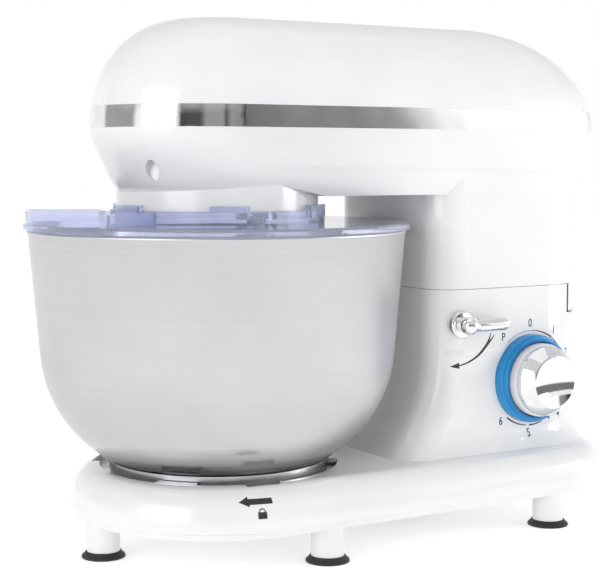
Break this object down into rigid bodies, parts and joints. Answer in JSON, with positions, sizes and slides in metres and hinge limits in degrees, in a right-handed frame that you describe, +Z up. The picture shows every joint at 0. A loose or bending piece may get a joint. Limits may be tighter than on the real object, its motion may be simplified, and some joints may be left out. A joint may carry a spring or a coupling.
{
  "type": "stand mixer",
  "caption": "Tilt-head stand mixer with a lidded steel bowl, planetary flat beater, belt-driven head, tilt lever and a lit speed knob on suction feet.",
  "frame": {"origin": "middle of the footprint's box, on the worktop", "axes": "+X towards the rear, +Y away from the knob side, +Z up; the bowl's axis is vertical at x = -0.07675"},
  "size_m": [0.3888, 0.235, 0.3191],
  "materials": {
    "white_plastic": "glossy moulded white",
    "black_rubber": "smooth moulded rubber",
    "screw_steel": "bright zinc plate",
    "plate_steel": "pressed and polished steel",
    "nylon": "natural nylon",
    "spring_steel": "drawn wire",
    "blue_light_ring": "translucent blue, lit from behind",
    "circuit_board": "solder-masked laminate",
    "black_plastic": "moulded black",
    "chrome_trim": "mirror chrome",
    "grey_plastic": "satin light grey",
    "bowl_steel": "satin spun stainless steel",
    "tinted_clear": "clear plastic with a violet-blue tint",
    "bronze": "sintered bronze",
    "gear_nylon": "moulded gear nylon",
    "cast_alloy": "die-cast",
    "belt_rubber": "ribbed rubber",
    "motor_iron": "laminated sheet",
    "copper_wire": "enamelled copper",
    "carbon": "brush holders and carbons",
    "gear_steel": "hobbed steel",
    "carrier_alloy": "painted die-cast"
  },
  "bodies": {
    "base": {"base_housing": "white_plastic", "bottom_plate": "white_plastic", "suction_feet": "black_rubber", "bottom_screws": "screw_steel", "bowl_lock_plate": "plate_steel", "lock_plate_screws": "screw_steel", "lock_tabs": "plate_steel", "hinge_bracket": "plate_steel", "bracket_screws": "screw_steel", "hinge_pin": "screw_steel", "lever_bush": "nylon", "lever_spring": "spring_steel", "knob_light_ring": "blue_light_ring", "control_board": "circuit_board", "speed_switch": "black_plastic", "cord_inlet": "black_rubber", "terminal_block": "nylon"},
    "lever": {"tilt_lever": "chrome_trim", "lever_shaft": "plate_steel", "latch_hook": "plate_steel"},
    "knob": {"speed_knob": "grey_plastic", "knob_cap": "chrome_trim", "knob_shaft": "plate_steel"},
    "bowl": {"mixing_bowl": "bowl_steel", "bowl_foot_ring": "plate_steel"},
    "head": {"head_housing": "white_plastic", "head_cover": "white_plastic", "trim_band": "chrome_trim", "hinge_bushes": "bronze", "neck_skirt": "white_plastic", "ring_gear": "gear_nylon", "gearbox_chassis": "cast_alloy", "shaft_bushes": "bronze", "chassis_screws": "screw_steel", "cover_screws": "screw_steel", "latch_catch": "plate_steel", "drive_belt": "belt_rubber", "motor_stator": "motor_iron", "field_coils": "copper_wire", "motor_lower_bracket": "cast_alloy", "motor_upper_bracket": "cast_alloy", "motor_bearings": "bronze", "carbon_brushes": "carbon"},
    "lid": {"splash_guard": "tinted_clear"},
    "rotor": {"motor_shaft": "plate_steel", "armature_core": "motor_iron", "armature_windings": "copper_wire", "commutator": "copper_wire", "cooling_fan": "black_plastic", "motor_pulley": "plate_steel"},
    "counter": {"countershaft": "plate_steel", "counter_pinion": "gear_steel", "large_pulley": "cast_alloy"},
    "carrier": {"main_gear": "gear_nylon", "main_shaft": "plate_steel", "planet_carrier": "carrier_alloy", "spindle_bushes": "bronze"},
    "tool": {"planet_pinion": "gear_steel", "tool_spindle": "plate_steel", "flat_beater": "carrier_alloy"}
  },
  "joints": [
    {"name": "head_tilt", "type": "hinge", "parent": "base", "child": "head", "pos_m": [0.15925, 0, 0.156], "axis": [0, 1, 0], "range_deg": [0, 38]},
    {"name": "lever_turn", "type": "hinge", "parent": "base", "child": "lever", "pos_m": [0.06175, 0, 0.1325], "axis": [0, 1, 0], "range_deg": [0, 45], "stiffness_Nm_per_rad": 0.3},
    {"name": "knob_turn", "type": "hinge", "parent": "base", "child": "knob", "pos_m": [0.11925, 0, 0.0945], "axis": [0, 1, 0], "range_deg": [-40, 215]},
    {"name": "bowl_twist", "type": "hinge", "parent": "base", "child": "bowl", "pos_m": [-0.07675, 0, 0.048], "axis": [0, 0, 1], "range_deg": [0, 30]},
    {"name": "lid_twist", "type": "hinge", "parent": "head", "child": "lid", "pos_m": [-0.07675, 0, 0.198], "axis": [0, 0, 1], "range_deg": [0, 25]},
    {"name": "carrier_spin", "type": "hinge", "parent": "head", "child": "carrier", "pos_m": [-0.07675, 0, 0.208], "axis": [0, 0, 1], "continuous": true},
    {"name": "tool_spin", "type": "hinge", "parent": "carrier", "child": "tool", "pos_m": [-0.04975, 0, 0.208], "axis": [0, 0, 1], "continuous": true},
    {"name": "counter_spin", "type": "hinge", "parent": "head", "child": "counter", "pos_m": [-0.01525, 0, 0.258], "axis": [0, 0, 1], "continuous": true},
    {"name": "motor_spin", "type": "hinge", "parent": "head", "child": "rotor", "pos_m": [0.10725, 0, 0.258], "axis": [0, 0, 1], "continuous": true}
  ],
  "couplings": [
    {"joint": "tool_spin", "follows": "carrier_spin", "ratio": -3},
    {"joint": "counter_spin", "follows": "carrier_spin", "ratio": -5.8333},
    {"joint": "motor_spin", "follows": "carrier_spin", "ratio": -30.428}
  ]
}
